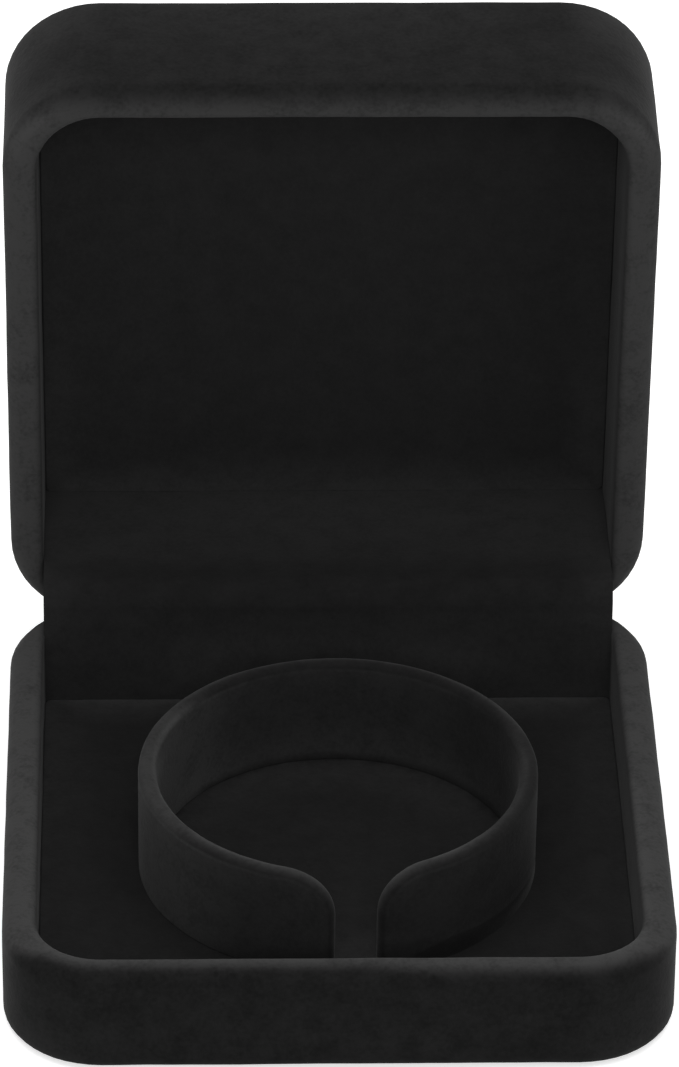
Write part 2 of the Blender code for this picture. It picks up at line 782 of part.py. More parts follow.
def collar_core():
    """Stiff band with tabs that pass through the floor lining."""
    bottom = FLOOR_TOP + CLEARANCE
    mesh = bmesh.new()
    edge = band_surface(mesh, 0, bottom, 2)
    mesh.faces.new(edge)
    core = add_object("collar_core", mesh, card("collar_core"))
    half = COLLAR_THICKNESS / 2 - COVER - TAB_SHAVE
    for index, share in enumerate(TAB_SHARES):
        tab = collar_sector(f"collar tab {index + 1}", share, half, TAB_WIDTH / 2,
                            BASE_INNER + LAYER_GAP, bottom + CUT_OVERRUN)
        cut(core, tab, "UNION")
    return core


def collar_velvet():
    """Sleeve over the core, open below."""
    bottom = FLOOR_TOP + CLEARANCE
    mesh = bmesh.new()
    face = band_surface(mesh, COVER, bottom, SLEEVE_ROUND_STEPS)
    back = band_surface(mesh, LAYER_GAP, bottom, SLEEVE_ROUND_STEPS)
    count = len(face)
    for index in range(count):
        beside = (index + 1) % count
        mesh.faces.new((face[index], face[beside], back[beside], back[index]))
    return add_object("collar_velvet", mesh, velvet("collar_velvet"))


def build():
    clear_scene()
    hinge = lid_hinge()
    base_shell()
    base_velvet_cover()
    underside_sheet()
    floor_lining()
    collar_core()
    collar_velvet()
    lid_shell(hinge)
    lid_velvet_cover(hinge)
    panel_lining(hinge)
    spine_strip()
    hinge_leaf("hinge_base_leaf", -1, (0, 2, 4))
    leaf, helpers = hinge_leaf("hinge_lid_leaf", 1, (1, 3))
    for piece in [leaf] + helpers:
        on_lid(piece, hinge)
    hinge_pin()
    hinge_bow_spring()
    for end, x in (("left", -RIVET_SPACING / 2), ("right", RIVET_SPACING / 2)):
        rivet(f"hinge_base_rivet_{end}", x, -1)
        on_lid(rivet(f"hinge_lid_rivet_{end}", x, 1), hinge)


build()
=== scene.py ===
import json
import math

import bmesh
import bpy
from mathutils import Matrix, Vector
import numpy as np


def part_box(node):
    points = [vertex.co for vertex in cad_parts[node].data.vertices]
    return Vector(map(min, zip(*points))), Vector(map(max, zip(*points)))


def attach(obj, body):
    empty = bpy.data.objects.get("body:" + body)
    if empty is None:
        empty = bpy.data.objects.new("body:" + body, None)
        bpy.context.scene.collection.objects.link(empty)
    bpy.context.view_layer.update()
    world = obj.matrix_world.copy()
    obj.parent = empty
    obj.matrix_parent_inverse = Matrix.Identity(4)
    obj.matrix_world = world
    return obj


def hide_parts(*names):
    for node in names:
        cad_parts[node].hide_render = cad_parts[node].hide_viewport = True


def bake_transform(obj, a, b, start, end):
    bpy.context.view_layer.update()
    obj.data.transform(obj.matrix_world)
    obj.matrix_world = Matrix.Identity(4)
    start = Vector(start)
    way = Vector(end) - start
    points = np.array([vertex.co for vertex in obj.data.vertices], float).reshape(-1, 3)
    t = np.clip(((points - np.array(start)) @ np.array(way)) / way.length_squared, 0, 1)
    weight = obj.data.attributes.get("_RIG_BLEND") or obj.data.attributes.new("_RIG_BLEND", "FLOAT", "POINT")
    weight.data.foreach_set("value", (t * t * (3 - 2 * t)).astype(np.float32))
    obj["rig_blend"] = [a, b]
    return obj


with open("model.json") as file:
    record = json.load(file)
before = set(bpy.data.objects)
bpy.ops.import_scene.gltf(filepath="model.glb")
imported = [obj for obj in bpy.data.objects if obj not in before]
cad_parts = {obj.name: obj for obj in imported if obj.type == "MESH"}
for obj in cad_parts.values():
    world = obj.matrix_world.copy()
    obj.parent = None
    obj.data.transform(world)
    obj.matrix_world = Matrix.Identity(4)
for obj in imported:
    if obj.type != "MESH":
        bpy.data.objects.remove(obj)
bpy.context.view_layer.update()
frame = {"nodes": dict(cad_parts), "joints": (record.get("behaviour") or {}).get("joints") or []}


# The base's moulded tray
# Black plastic with thick walls. It is seen only in the hinge's pocket and notch.

grain_detail = 4
grain_strength = 0.5
gloss_spread = 0.08


def granular(name, dark, light, rate, roughness, metallic, depth):
    """A finish with fine grain: moulded plastic, card or rolled steel."""
    material = bpy.data.materials.new(name)
    material.use_nodes = True
    nodes, links = material.node_tree.nodes, material.node_tree.links
    shader = nodes["Principled BSDF"]
    shader.inputs["Metallic"].default_value = metallic
    place = nodes.new("ShaderNodeTexCoord")
    grain = nodes.new("ShaderNodeTexNoise")
    grain.inputs["Scale"].default_value = rate
    grain.inputs["Detail"].default_value = grain_detail
    links.new(place.outputs["Object"], grain.inputs["Vector"])
    colour = nodes.new("ShaderNodeMix")
    colour.data_type = "RGBA"
    colour.inputs["A"].default_value = (*dark, 1)
    colour.inputs["B"].default_value = (*light, 1)
    links.new(grain.outputs["Fac"], colour.inputs["Factor"])
    links.new(colour.outputs["Result"], shader.inputs["Base Color"])
    gloss = nodes.new("ShaderNodeMapRange")
    gloss.inputs["To Min"].default_value = roughness - gloss_spread
    gloss.inputs["To Max"].default_value = roughness + gloss_spread
    links.new(grain.outputs["Fac"], gloss.inputs["Value"])
    links.new(gloss.outputs["Result"], shader.inputs["Roughness"])
    bump = nodes.new("ShaderNodeBump")
    bump.inputs["Strength"].default_value = grain_strength
    bump.inputs["Distance"].default_value = depth
    links.new(grain.outputs["Fac"], bump.inputs["Height"])
    links.new(bump.outputs["Normal"], shader.inputs["Normal"])
    return material


def dress(material, *names):
    """Gives CAD nodes a finish."""
    for name in names:
        for slot in frame["nodes"][name].material_slots:
            slot.material = material


plastic = granular("moulded plastic", dark=(0.016, 0.016, 0.017), light=(0.026, 0.026, 0.028), rate=2600,
                   roughness=0.45, metallic=0, depth=0.00003)
dress(plastic, "base_shell")


# The base's velvet cover
# A band of black velvet glued round the moulded tray. It rolls over the rim and down inside, turns
# under at the bottom edge, and is cut away at the rear where the hinge lies.

lid_joint = frame["joints"][0]
hinge_axis = Vector(lid_joint["pos_m"])
base_low, base_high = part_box("base_velvet_cover")
velvet_thickness = 0.0006
rim_width = 0.0046
rim_outer_radius = 0.0023
rim_inner_radius = 0.00105
rim_fall = 0.00004
corner_radius = 0.0133
cavity_rear_radius = 0.0040
cover_depth = 0.00085
base_edge_radius = 0.0017
hem_turn = 0.0060
base_cover_foot = 0.0028
wall_cell = 0.0015
corner_segments = 12
rim_segments = 8
edge_segments = 4
smooth_angle = math.radians(50)


def pick(kind, test):
    """Selects the shown vertices, edges or faces of the edited mesh that pass a test."""
    bpy.ops.mesh.select_mode(type=kind)
    mesh = bmesh.from_edit_mesh(bpy.context.object.data)
    for part in {"VERT": mesh.verts, "EDGE": mesh.edges, "FACE": mesh.faces}[kind]:
        part.select_set(not part.hide and test(part))
    mesh.select_flush_mode()
    bmesh.update_edit_mesh(bpy.context.object.data)


def new_piece(name):
    """Starts a piece with a plane at the origin and opens it in edit mode."""
    bpy.ops.object.select_all(action="DESELECT")
    bpy.ops.mesh.primitive_plane_add(size=1)
    piece = bpy.context.object
    piece.name = name
    piece.data.name = name
    bpy.ops.object.mode_set(mode="EDIT")
    return piece


def shape_outline(half_width, front, rear, front_radius, rear_radius, height, cuts):
    """Turns the shown plane into a loop of edges: a rounded rectangle with its sides divided."""
    middle = (front + rear) / 2
    bpy.ops.mesh.select_all(action="SELECT")
    bpy.ops.transform.resize(value=(2 * half_width, rear - front, 1))
    bpy.ops.transform.translate(value=(0, middle, height))
    for side, radius in ((1, rear_radius), (-1, front_radius)):
        if radius:
            nearly_there = (rear - front) / 2 - radius / 1000
            pick("VERT", lambda vert: (vert.co.y - middle) * side > nearly_there)
            bpy.ops.mesh.bevel(offset=radius, segments=corner_segments, affect="VERTICES",
                               clamp_overlap=False)
    bpy.ops.mesh.select_all(action="SELECT")
    bpy.ops.mesh.delete(type="ONLY_FACE")
    shortest = max(front_radius, rear_radius) / 4
    for axis in (0, 1):
        pick("EDGE", lambda edge: abs((edge.verts[1].co - edge.verts[0].co)[axis]) > shortest)
        bpy.ops.mesh.subdivide(number_cuts=cuts[axis])
    bpy.ops.mesh.select_mode(type="VERT")


def loft(piece, outlines, cell, cuts=None):
    """Bridges a stack of rounded outlines, with more of them between those that lie far apart.

    An outline starts with its half width and ends with its height.
    """
    if cuts is None:
        cuts = [round(2 * outlines[0][0] / cell)] * 2
    stack = [outlines[0]]
    for before, after in zip(outlines, outlines[1:]):
        steps = 1 + int(max(abs(after[-1] - before[-1]), abs(after[0] - before[0])) / cell)
        for step in range(1, steps + 1):
            stack.append([start + (end - start) * step / steps for start, end in zip(before, after)])
    for index, outline in enumerate(stack):
        if index:
            bpy.ops.mesh.select_all(action="SELECT")
            bpy.ops.mesh.hide()
            bpy.ops.mesh.primitive_plane_add(size=1, location=(0, 0, 0))
        shape_outline(*outline, cuts)
        piece.vertex_groups.new(name=f"outline {index}")
        bpy.ops.mesh.select_all(action="SELECT")
        bpy.ops.object.vertex_group_assign()
        if index:
            bpy.ops.mesh.reveal(select=False)
            bpy.ops.mesh.select_all(action="DESELECT")
            for group in (index - 1, index):
                piece.vertex_groups.active_index = group
                bpy.ops.object.vertex_group_select()
            bpy.ops.mesh.bridge_edge_loops()
    piece.vertex_groups.clear()


def between(start, end, share):
    """The value at a share of the way from start to end."""
    return start + (end - start) * share


def rear_radius(inset):
    """Radius of the rear corners at a depth into the wall: round outside, squarer in the cavity."""
    share = min(max((inset - cover_depth) / (rim_width - 2 * cover_depth), 0), 1)
    if share == 0:
        return corner_radius - inset
    if share == 1:
        return cavity_rear_radius + rim_width - inset
    return between(corner_radius - cover_depth, cavity_rear_radius + cover_depth, share)


def wall_outline(inset, height, rear=None):
    """The box's outline at a depth into its wall."""
    half_width = base_high.x - inset
    half_depth = base_high.y - inset
    rear = rear_radius(inset) if rear is None else rear
    return half_width, -half_depth, half_depth, max(corner_radius - inset, cover_depth), rear, height


def rounded(inset, height, radius, start, end, segments):
    """Insets and heights along an arc, in degrees: 180 faces outward, 90 up and 0 into the box."""
    turns = [math.radians(start + (end - start) * step / segments) for step in range(segments + 1)]
    return [(inset + radius * math.cos(turn), height + radius * math.sin(turn)) for turn in turns]


def wall_rows(bottom, edge_radius, height, foot):
    """Rows from the bottom edge up the wall, over the rim and down to the foot.

    A row is an inset, a height, and a radius of the rear corners, or None for the wall's usual one.
    """
    edge = rounded(edge_radius, bottom + edge_radius, edge_radius, 270, 180, edge_segments)
    rows = [(inset, at, corner_radius - inset) for inset, at in edge]
    outer = rounded(rim_outer_radius, height - rim_fall - rim_outer_radius, rim_outer_radius, 180, 90,
                    rim_segments)
    inner = rounded(rim_width - rim_inner_radius, height - rim_inner_radius, rim_inner_radius, 90, 0,
                    edge_segments)
    return rows + [(inset, at, None) for inset, at in outer + inner] + [(rim_width, foot, None)]


def face_outward():
    """Turns the edited mesh's faces outward and leaves edit mode."""
    bpy.ops.mesh.select_mode(type="VERT")
    bpy.ops.mesh.select_all(action="SELECT")
    bpy.ops.mesh.normals_make_consistent(inside=False)
    bpy.ops.object.mode_set(mode="OBJECT")


def thicken(piece, thickness):
    """Gives a piece its thickness behind its face and smooths it."""
    wall = piece.modifiers.new("thickness", "SOLIDIFY")
    wall.thickness = thickness
    wall.offset = -1
    bpy.ops.object.modifier_apply(modifier=wall.name)
    bpy.ops.object.shade_smooth_by_angle(angle=smooth_angle)


def finish_cloth(piece, lie, lie_size):
    """Lets the glued velvet lie a little unevenly and gives it its thickness."""
    face_outward()
    texture = bpy.data.textures.new(f"{piece.name} lie", "CLOUDS")
    texture.noise_scale = lie_size
    uneven = piece.modifiers.new("lie", "DISPLACE")
    uneven.texture = texture
    uneven.texture_coords = "GLOBAL"
    uneven.strength = lie
    bpy.ops.object.modifier_apply(modifier=uneven.name)
    thicken(piece, velvet_thickness)


def cut_window(piece, low, high, turn=0, pivot=(0, 0, 0)):
    """Cuts a square-edged opening between two corners, turned about an upright line if asked."""
    bpy.ops.object.select_all(action="DESELECT")
    bpy.ops.mesh.primitive_cube_add(size=1)
    knife = bpy.context.object
    bpy.ops.object.mode_set(mode="EDIT")
    bpy.ops.transform.resize(value=Vector(high) - Vector(low))
    bpy.ops.transform.translate(value=(Vector(high) + Vector(low)) / 2)
    bpy.ops.transform.rotate(value=turn, orient_axis="Z", center_override=pivot)
    bpy.ops.object.mode_set(mode="OBJECT")
    bpy.ops.object.select_all(action="DESELECT")
    piece.select_set(True)
    bpy.context.view_layer.objects.active = piece
    window = piece.modifiers.new("window", "BOOLEAN")
    window.object = knife
    window.solver = "EXACT"
    bpy.ops.object.modifier_apply(modifier=window.name)
    bpy.data.objects.remove(knife)


def ramp(value, low, high):
    """Rises smoothly from 0 at low to 1 at high."""
    share = min(max((value - low) / (high - low), 0), 1)
    return share * share * (3 - 2 * share)


def mark_pile_and_light(piece, opened_and_lit):
    """Keeps on a piece how far its pile stands open, together with the painted light, shade and sheen laid
    on it, one value for each vertex.
    """
    piece.data.attributes.new("opened_and_lit_pile", "FLOAT", "POINT").data.foreach_set("value", opened_and_lit)


def mark_open_pile_and_light(piece, rim, side, cavity_depth, rim_start, wall_light):
    """Marks how far the pile stands open, with painted sheen and highlights on the rim and painted light and
    shade on the walls: most where the velvet bends over the rim and at its corners.

    The piece lies shut, with its rim at a height and its wall above that, 1, or below, -1.
    """
    straight = base_high.x - corner_radius
    opened_and_lit = []
    for vert in piece.data.vertices:
        x, y, z = vert.co
        past = Vector((max(abs(x) - straight, 0), max(abs(y) - straight, 0)))
        inset = corner_radius - past.length
        depth = (z - rim) * side
        sideways = (past.x / past.length) ** 2 if past.length else 0
        corner = 2 * past.x * past.y / past.length_squared if past.length else 0

        # The rim: open pile with painted sheen, from its outside at the sides and towards its inner edge in
        # front and behind, with a painted highlight on the crown in front and painted shade at the inner
        # lip.
        front = side < 0 and y < 0
        turned = ramp(sideways, *side_band) if front else sideways
        rightward = ramp(x, *right_band) if front else 0
        lead = right_lead * rightward * (1 - turned)
        starts = between(rim_start, rim_start_side, turned) - lead
        full = between(rim_full_front, rim_full_side, turned) - lead
        rim_pile_and_sheen = rim_open_and_sheen * ramp(inset, starts, full)
        if front:
            crown = crown_highlight + crown_right_highlight * rightward + crown_corner_highlight * corner ** 2
            rim_pile_and_sheen += crown * ramp(inset, *crown_band)
        if inset > lip_inset:
            rim_pile_and_sheen *= 1 - lip_shade * ramp(depth, *lip_band)
        rim_pile_and_sheen *= 1 - ramp(depth, *rim_fade)

        # The outer wall: painted light that grows towards its far edge and at its corners, with painted
        # shade towards the right.
        far_side = far_corner_right if x > 0 else 1
        far_corner = far_corner_light * corner * far_side * (1 - ramp(inset, *far_corner_fade))
        far_edge_light = far_light - far_right_shade * ramp(x, *far_right_band) + far_corner
        far_edge_light *= min(max(depth / lid_height, 0), 1) ** 2
        if side > 0:
            near_fade = (1 - ramp(depth, *near_corner_fade)) * (1 - ramp(inset, *near_corner_inset))
            far_edge_light += near_corner_light * corner * near_fade

        # The wall of the cavity: painted light that lifts the shade down inside it, fading again deeper
        # down.
        inner_wall_light = 0
        if max(abs(x), abs(y)) < cavity_rear + 2 * fray and depth < cavity_depth:
            inner_wall_light = wall_light * ramp(depth, *wall_band) * (1 - wall_light_loss * ramp(depth, *wall_fade))
        opened_and_lit.append(max(rim_pile_and_sheen, inner_wall_light) + far_edge_light)
    mark_pile_and_light(piece, opened_and_lit)


fray = 0.0001
lid_height = 0.0235
leaf_low, leaf_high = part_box("hinge_base_leaf")
leaf_thickness = 0.0005
leaf_room = 0.0003
leaf_forward = 0.0013
pocket_room = 0.00105
pocket_half = leaf_high.x + pocket_room
barrel_room = 0.00165
cavity_rear = base_high.y - rim_width
leaf_front = hinge_axis.y - leaf_forward
pocket_rear = leaf_front + leaf_thickness + leaf_room
overrun = 0.002

# How far the pile stands open and how much painted light, shade, sheen and highlight lie on it, from 0 to 1,
# and the distances over which that comes or goes.
side_band = (0.3, 1)
right_band = (0, 0.0150)
right_lead = 0.0008
rim_open_and_sheen = 0.65
base_rim_start = 0.0010
rim_start_side = -0.0010
rim_full_front = 0.0036
rim_full_side = 0.0004
rim_fade = (0.0012, 0.0045)
crown_highlight = 0.05
crown_right_highlight = 0.08
crown_corner_highlight = 0.27
crown_band = (0.0028, 0.0042)
lip_inset = 0.0035
lip_shade = 0.80
lip_band = (0.0002, 0.0011)
far_light = 0.14
far_right_shade = 0.08
far_right_band = (0.0120, 0.0280)
far_corner_light = 0.26
far_corner_right = 1.6
far_corner_fade = (0.0008, 0.0050)
near_corner_light = 0.16
near_corner_fade = (0.0030, 0.0100)
near_corner_inset = (0.0015, 0.0030)
base_wall_light = 0.14
wall_light_loss = 0.5
wall_band = (0.0015, 0.0060)
wall_fade = (0.0060, 0.0180)

base_cover = new_piece("base_cover")
rows = [(hem_turn, base_low.z, corner_radius - hem_turn)]
rows += wall_rows(base_low.z, base_edge_radius, base_high.z, base_cover_foot)
loft(base_cover, [wall_outline(*row) for row in rows], wall_cell)
finish_cloth(base_cover, lie=0.00012, lie_size=0.008)
cut_window(base_cover, (-pocket_half, cavity_rear - overrun, leaf_low.z - leaf_room),
           (pocket_half, pocket_rear, base_high.z + overrun))
cut_window(base_cover, (-pocket_half, pocket_rear - leaf_room, hinge_axis.z - barrel_room),
           (pocket_half, base_high.y + overrun, base_high.z + overrun))
mark_open_pile_and_light(base_cover, base_high.z, -1, base_high.z - base_cover_foot, base_rim_start, base_wall_light)
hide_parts("base_velvet_cover")
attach(base_cover, "base")


patch_lean = 0.6
tuft_lean = 0.4
opened_and_lit_least = 0.6
opened_and_lit_by_lean = 0.7
patch_height = 0.3
tuft_height = 0.7


def velvet_nap():
    """Shared nap: patches where the pile leans another way, and the tufts themselves."""
    group = bpy.data.node_groups.new("Velvet nap", "ShaderNodeTree")
    for name, kind, value in (
        ("Upright pile", "NodeSocketColor", (0.01, 0.01, 0.01, 1)),
        ("Leaning pile", "NodeSocketColor", (0.02, 0.02, 0.02, 1)),
        ("Patches per metre", "NodeSocketFloat", 250),
        ("Tufts per metre", "NodeSocketFloat", 1700),
        ("Leaning share", "NodeSocketFloat", 1),
        ("Opened and lit pile", "NodeSocketColor", (0.05, 0.05, 0.05, 1)),
        ("Opened and lit", "NodeSocketFloat", 0),
    ):
        group.interface.new_socket(name, in_out="INPUT", socket_type=kind).default_value = value
    group.interface.new_socket("Color", in_out="OUTPUT", socket_type="NodeSocketColor")
    group.interface.new_socket("Height", in_out="OUTPUT", socket_type="NodeSocketFloat")
    nodes, links = group.nodes, group.links
    taken = nodes.new("NodeGroupInput")
    given = nodes.new("NodeGroupOutput")
    place = nodes.new("ShaderNodeTexCoord")

    def noise(rate, detail, coarseness, low, high):
        field = nodes.new("ShaderNodeTexNoise")
        field.inputs["Detail"].default_value = detail
        field.inputs["Roughness"].default_value = coarseness
        links.new(place.outputs["Object"], field.inputs["Vector"])
        links.new(taken.outputs[rate], field.inputs["Scale"])
        spread = nodes.new("ShaderNodeMapRange")
        spread.inputs["From Min"].default_value = low
        spread.inputs["From Max"].default_value = high
        links.new(field.outputs["Fac"], spread.inputs["Value"])
        return spread.outputs["Result"]

    def join(operation, first, second):
        step = nodes.new("ShaderNodeMath")
        step.operation = operation
        step.use_clamp = True
        for socket, value in zip(step.inputs, (first, second)):
            if isinstance(value, bpy.types.NodeSocket):
                links.new(value, socket)
            else:
                socket.default_value = value
        return step.outputs["Value"]

    patches = noise("Patches per metre", detail=6, coarseness=0.74, low=0.34, high=0.66)
    tufts = noise("Tufts per metre", detail=2, coarseness=0.5, low=0.30, high=0.70)
    leaning = join("ADD", join("MULTIPLY", patches, patch_lean), join("MULTIPLY", tufts, tuft_lean))
    lean = join("MULTIPLY", leaning, taken.outputs["Leaning share"])

    def blend(share, first, second):
        mix = nodes.new("ShaderNodeMix")
        mix.data_type = "RGBA"
        for name, value in (("Factor", share), ("A", first), ("B", second)):
            links.new(value, mix.inputs[name])
        return mix.outputs["Result"]

    closed = blend(lean, taken.outputs["Upright pile"], taken.outputs["Leaning pile"])
    # The marked share blends in the opened pile's tone, which also stands for painted light and sheen, more
    # where the pile leans.
    caught = join("ADD", join("MULTIPLY", lean, opened_and_lit_by_lean), opened_and_lit_least)
    opened_and_lit = join("MULTIPLY", taken.outputs["Opened and lit"], caught)
    height = join("ADD", join("MULTIPLY", tufts, tuft_height), join("MULTIPLY", patches, patch_height))
    links.new(blend(opened_and_lit, closed, taken.outputs["Opened and lit pile"]), given.inputs["Color"])
    links.new(height, given.inputs["Height"])
    return group


nap = velvet_nap()


pile_roughness = 0.95
pile_specular = 0.12
pile_sheen = 0.03
sheen_roughness = 0.35
pile_strength = 0.6
pile_height = 0.00004


def velvet(name, upright, leaning, patches, share, opened_and_lit):
    """Black velvet: a rough pile that looks lighter where it leans, and lightest where it is marked open, a
    mark that also carries painted light and sheen.
    """
    material = bpy.data.materials.new(name)
    material.use_nodes = True
    nodes, links = material.node_tree.nodes, material.node_tree.links
    shader = nodes["Principled BSDF"]
    shader.inputs["Roughness"].default_value = pile_roughness
    shader.inputs["Specular IOR Level"].default_value = pile_specular
    shader.inputs["Sheen Weight"].default_value = pile_sheen
    shader.inputs["Sheen Roughness"].default_value = sheen_roughness
    lay = nodes.new("ShaderNodeGroup")
    lay.node_tree = nap
    for socket, tone in (("Upright pile", upright), ("Leaning pile", leaning), ("Opened and lit pile", opened_and_lit)):
        lay.inputs[socket].default_value = (tone, tone, tone, 1)
    lay.inputs["Patches per metre"].default_value = patches
    lay.inputs["Leaning share"].default_value = share
    marks = nodes.new("ShaderNodeAttribute")
    marks.attribute_name = "opened_and_lit_pile"
    links.new(marks.outputs["Fac"], lay.inputs["Opened and lit"])
    bump = nodes.new("ShaderNodeBump")
    bump.inputs["Strength"].default_value = pile_strength
    bump.inputs["Distance"].default_value = pile_height
    links.new(lay.outputs["Color"], shader.inputs["Base Color"])
    links.new(lay.outputs["Height"], bump.inputs["Height"])
    links.new(bump.outputs["Normal"], shader.inputs["Normal"])
    return material


cover_velvet = velvet("cover velvet", upright=0.0017, leaning=0.0097, patches=250, share=1, opened_and_lit=0.055)
base_cover.data.materials.append(cover_velvet)


# The sheet under the base
# A flat sheet of the same velvet, glued inside the turned-under hem. The box rests on it.

same_height = overrun / 100


def fill_face(height, span=None):
    """Fills the open edge at a height with a grid, span faces long or as long as it is wide."""
    pick("EDGE", lambda edge: edge.is_boundary
         and all(abs(vert.co.z - height) < same_height for vert in edge.verts))
    ring = sum(edge.select for edge in bmesh.from_edit_mesh(bpy.context.object.data).edges)
    bpy.ops.mesh.fill_grid(span=span or ring // 4, offset=0, use_interp_simple=True)


sheet_low, sheet_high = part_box("underside_sheet")
sheet_inset = base_high.x - sheet_high.x
sheet_radius = corner_radius - sheet_inset
underside = new_piece("underside")
rows = [(sheet_inset, sheet_high.z, sheet_radius), (sheet_inset, sheet_low.z + fray, sheet_radius),
        (sheet_inset + fray, sheet_low.z, sheet_radius - fray)]
loft(underside, [wall_outline(*row) for row in rows], 2 * wall_cell)
fill_face(sheet_low.z)
fill_face(sheet_high.z)
face_outward()
bpy.ops.object.shade_smooth_by_angle(angle=smooth_angle)
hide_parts("underside_sheet")
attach(underside, "base")
underside.data.materials.append(cover_velvet)


# The floor of the base
# A board wrapped in velvet and pressed into the tray, with slots for the collar's tabs. The velvet is
# drawn down round the board's edges, so its own edge is softly rounded.

floor_low, floor_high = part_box("floor_velvet")
lining_cell = 0.0016
lining_edge = 0.0003
pile_spread = 0.00026
lining_rear_radius = 0.0008

# Painted light on a lining at its edges, lifting the shade in the seams along the walls.
edge_light_front = 0.11
edge_light_rear = 0.28
edge_rear_band = (-0.0100, 0.0300)
edge_fade = (-0.0010, 0.0080)
seam_light = 0.14
seam_fade = (0, 0.0020)


def lining_outlines(low, high):
    """Outlines of a velvet lining from its skirt over its rounded edge, with its pile out to the walls."""
    rows = [(0, low.z)]
    rows += rounded(lining_edge, high.z - lining_edge, lining_edge, 180, 90, edge_segments)
    inset = base_high.x - high.x
    outlines = []
    for step_in, height in rows:
        shrink = step_in - pile_spread
        outlines.append((high.x - shrink, low.y + shrink, high.y - shrink, corner_radius - inset - shrink,
                         lining_rear_radius - shrink, height))
    return outlines


def mark_lining_edge_light(piece, low, high, face_height, side, added_light):
    """Marks painted light on a lining near its outline and over its edge, 1 down or -1 up, lifting the shade
    in its seams, and adds the light from a given rule.
    """
    opened_and_lit = []
    for vert in piece.data.vertices:
        over_edge = ramp((face_height - vert.co.z) * side, lining_edge / 4, lining_edge)
        inward = min(high.x - abs(vert.co.x), vert.co.y - low.y, high.y - vert.co.y)
        along_edge = between(edge_light_front, edge_light_rear, ramp(vert.co.y, *edge_rear_band))
        near_edge = along_edge * (1 - ramp(inward, *edge_fade)) + seam_light * (1 - ramp(inward, *seam_fade))
        opened_and_lit.append(max(over_edge, near_edge + added_light(vert.co)))
    mark_pile_and_light(piece, opened_and_lit)


floor_lining = new_piece("floor_lining")
loft(floor_lining, lining_outlines(floor_low, floor_high), lining_cell)
fill_face(floor_high.z)
finish_cloth(floor_lining, lie=0.00012, lie_size=0.012)

# The collar's place, and the slots for its tabs.
collar_centre = Vector((0.0004, -0.0025, 0))
collar_turn = math.radians(3)
collar_mean = 0.02575
collar_gap = 0.0056
collar_half_length = math.pi * collar_mean - collar_gap / 2
collar_thickness = 0.0025
tab_slot = Vector((0.0043, 0.00055, overrun))
tab_shares = (-0.8, -0.4, 0, 0.4, 0.8)
for share in tab_shares:
    middle = collar_centre + Vector((0, collar_mean, floor_high.z))
    turn = share * (collar_half_length - cover_depth) / collar_mean - collar_turn
    cut_window(floor_lining, middle - tab_slot, middle + tab_slot, turn, collar_centre)

foot_light = 0.15
foot_fade = (0.0010, 0.0100)


def beside_collar(place):
    """Painted light on the floor inside the C beside the collar's foot, lifting the shade the collar casts
    there.
    """
    away = collar_mean - collar_thickness / 2 - (place - collar_centre).xy.length
    return foot_light * (1 - ramp(away, *foot_fade)) if away > 0 else 0


mark_lining_edge_light(floor_lining, floor_low, floor_high, floor_high.z, 1, beside_collar)
lining_velvet = velvet("floor velvet", upright=0.0042, leaning=0.0098, patches=260, share=0.8, opened_and_lit=0.05)
floor_lining.data.materials.append(lining_velvet)
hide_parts("floor_velvet")
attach(floor_lining, "base")

card = granular("grey card", dark=(0.27, 0.26, 0.24), light=(0.37, 0.36, 0.34), rate=900, roughness=0.9,
                metallic=0, depth=0.00004)
dress(card, "floor_board")


# The collar
# A stiff band bent into a C and covered with a velvet sleeve. Its tabs pass through slots in the
# floor. It is cut flat, with round upper corners, and then bent.

collar_low, collar_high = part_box("collar_velvet")
collar_low.z -= pile_spread
collar_corner = 0.0068
collar_cuts = (100, 7)
sleeve_edge_segments = 12
sleeve_turn = math.radians(4.2)
sleeve_oval = Vector((1.012, 0.993, 1))
sleeve_shift = Vector((0, 0.0001, 0))

collar = new_piece("collar")
half = collar_thickness / 2
outlines = []
for step in range(sleeve_edge_segments + 1):
    turn = math.pi * step / sleeve_edge_segments
    back_off = half * (1 - math.sin(turn))
    outlines.append((collar_half_length - back_off, collar_low.z, collar_high.z - back_off, 0,
                     collar_corner - back_off, half * math.cos(turn)))
loft(collar, outlines, wall_cell, cuts=collar_cuts)
for height in (half, -half):
    fill_face(height, collar_cuts[0] + 1)
pick("FACE", lambda face: all(vert.co.y < collar_low.z + fray for vert in face.verts))
bpy.ops.mesh.delete(type="FACE")
bpy.ops.mesh.select_all(action="SELECT")
bpy.ops.transform.rotate(value=math.radians(-90), orient_axis="X", center_override=(0, 0, 0))
bpy.ops.object.mode_set(mode="OBJECT")
bent = collar.modifiers.new("bend", "SIMPLE_DEFORM")
bent.deform_method = "BEND"
bent.deform_axis = "Z"
bent.angle = -2 * collar_half_length / collar_mean
bpy.ops.object.modifier_apply(modifier=bent.name)
bpy.ops.object.mode_set(mode="EDIT")
bpy.ops.mesh.select_all(action="SELECT")
bpy.ops.transform.translate(value=collar_centre + Vector((0, collar_mean, 0)))
bpy.ops.transform.rotate(value=-sleeve_turn, orient_axis="Z", center_override=collar_centre)
bpy.ops.transform.resize(value=sleeve_oval, center_override=collar_centre)
bpy.ops.transform.translate(value=sleeve_shift)
finish_cloth(collar, lie=0.00016, lie_size=0.007)
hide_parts("collar_velvet")
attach(collar, "base")

